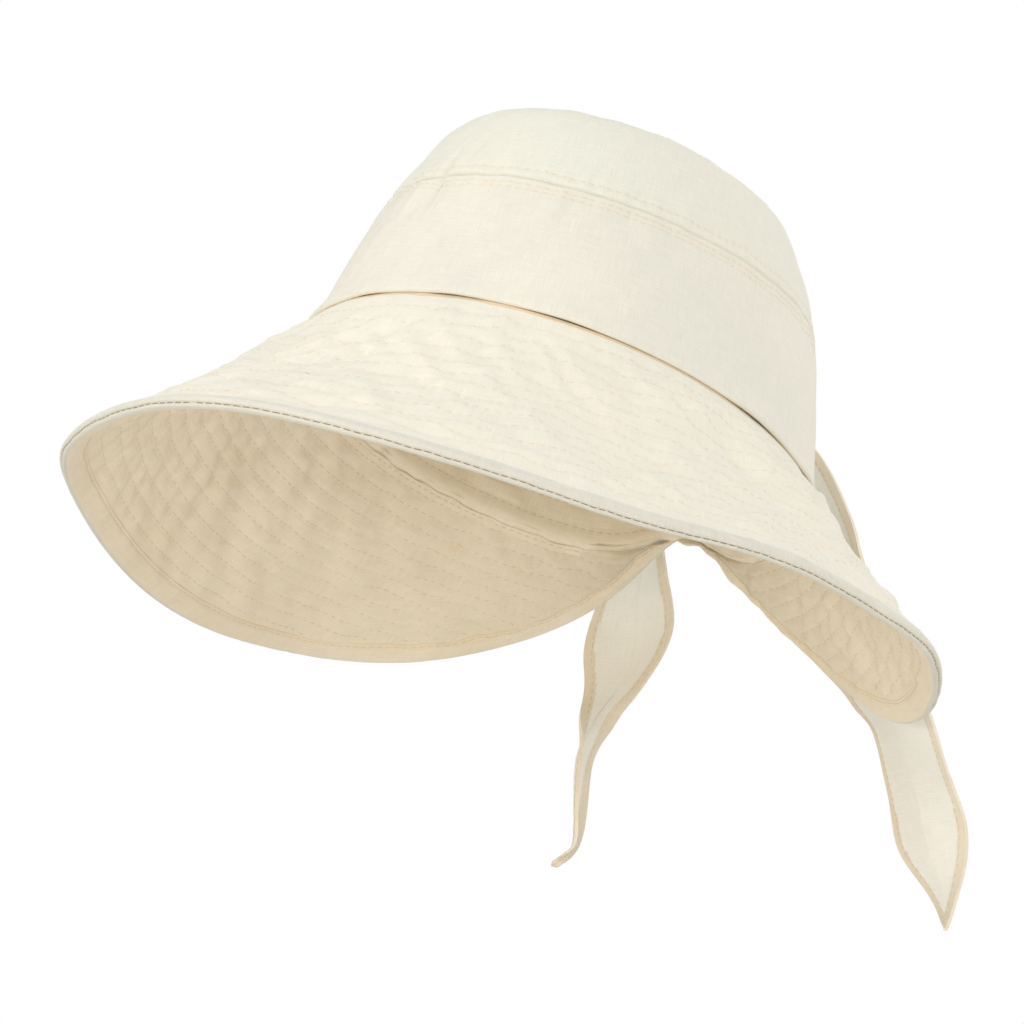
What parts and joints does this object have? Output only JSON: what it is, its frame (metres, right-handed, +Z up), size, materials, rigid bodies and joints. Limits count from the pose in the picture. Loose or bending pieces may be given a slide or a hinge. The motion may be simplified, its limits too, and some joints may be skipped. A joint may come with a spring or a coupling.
{
  "type": "sun hat",
  "caption": "Fabric sun hat: a soft crown with a wide band, a drooping quilted brim split at the back, and two hanging ties.",
  "frame": {"origin": "centre of the head opening, level with the band's lower edge", "axes": "+Z up along the crown, -Y towards the front of the hat, +X towards the wearer's left"},
  "size_m": [0.2825, 0.3182, 0.2222],
  "materials": {
    "band_cloth": "plain woven cotton, ivory",
    "brim_top_cloth": "plain woven cotton, warm cream, quilted in rows",
    "brim_under_cloth": "plain woven cotton, beige in shade, quilted in rows",
    "binding_cloth": "bias tape of the same cotton",
    "tie_cloth": "plain woven cotton with stitched hems",
    "sweatband_cloth": "cotton twill tape",
    "stiffener": "non-woven stiffener"
  },
  "bodies": {
    "hat": {"crown_top": "band_cloth", "crown_side": "band_cloth", "crown_band": "band_cloth", "seam_tape": "stiffener", "sweatband": "sweatband_cloth", "brim_upper": "brim_top_cloth", "brim_interlining": "stiffener", "brim_lower": "brim_under_cloth", "brim_binding": "binding_cloth", "tie_knot": "tie_cloth"},
    "left_tie": {"left_tie_upper": "tie_cloth"},
    "left_tail": {"left_tie_tail": "tie_cloth"},
    "right_tie": {"right_tie_upper": "tie_cloth"},
    "right_tail": {"right_tie_tail": "tie_cloth"}
  },
  "joints": [
    {"name": "left_tie_lift", "type": "hinge", "parent": "hat", "child": "left_tie", "pos_m": [0, 0.10318, 0.0389], "axis": [1, 0, 0], "range_deg": [0, 60]},
    {"name": "left_tail_swing", "type": "hinge", "parent": "left_tie", "child": "left_tail", "pos_m": [0.116, 0.09, -0.06], "axis": [0.7814, -0.5702, -0.2534], "range_deg": [-15, 60]},
    {"name": "right_tie_lift", "type": "hinge", "parent": "hat", "child": "right_tie", "pos_m": [0, 0.10318, 0.0389], "axis": [1, 0, 0], "range_deg": [0, 60]},
    {"name": "right_tail_swing", "type": "hinge", "parent": "right_tie", "child": "right_tail", "pos_m": [-0.013, 0.115, 0.001], "axis": [0.876, -0.1011, 0.4717], "range_deg": [0, 60]}
  ]
}
